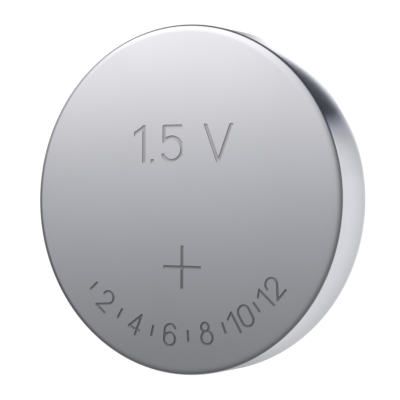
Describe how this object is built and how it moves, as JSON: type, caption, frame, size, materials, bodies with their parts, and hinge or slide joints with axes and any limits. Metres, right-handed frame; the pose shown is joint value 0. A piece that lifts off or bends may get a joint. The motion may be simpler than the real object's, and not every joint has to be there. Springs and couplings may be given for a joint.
{
  "type": "alkaline button cell",
  "caption": "Flat round sealed cell: crimped steel can with a marked positive face, a nylon gasket and a raised negative cap underneath.",
  "frame": {"origin": "on the cell's axis, in the plane of the flat negative contact that the cell lies on", "axes": "+Z along the cell's axis, out of the marked positive face; the marks read along +X, with their tops towards +Y"},
  "size_m": [0.0116, 0.0116, 0.003],
  "materials": {
    "can_plating": "satin nickel plating on steel",
    "cap_plating": "satin nickel plating on steel",
    "nylon": "natural nylon with a thin film of sealant",
    "pellet_mix": "pressed manganese dioxide and graphite powder",
    "ring_plating": "plated steel",
    "film": "translucent cellulose film",
    "pad": "nonwoven fibre",
    "zinc_gel": "zinc powder in gel"
  },
  "bodies": {
    "root": {"positive_can": "can_plating", "negative_cap": "cap_plating", "gasket": "nylon", "cathode_pellet": "pellet_mix", "pellet_ring": "ring_plating", "barrier_film": "film", "absorbent_pad": "pad", "anode_gel": "zinc_gel"}
  },
  "joints": []
}
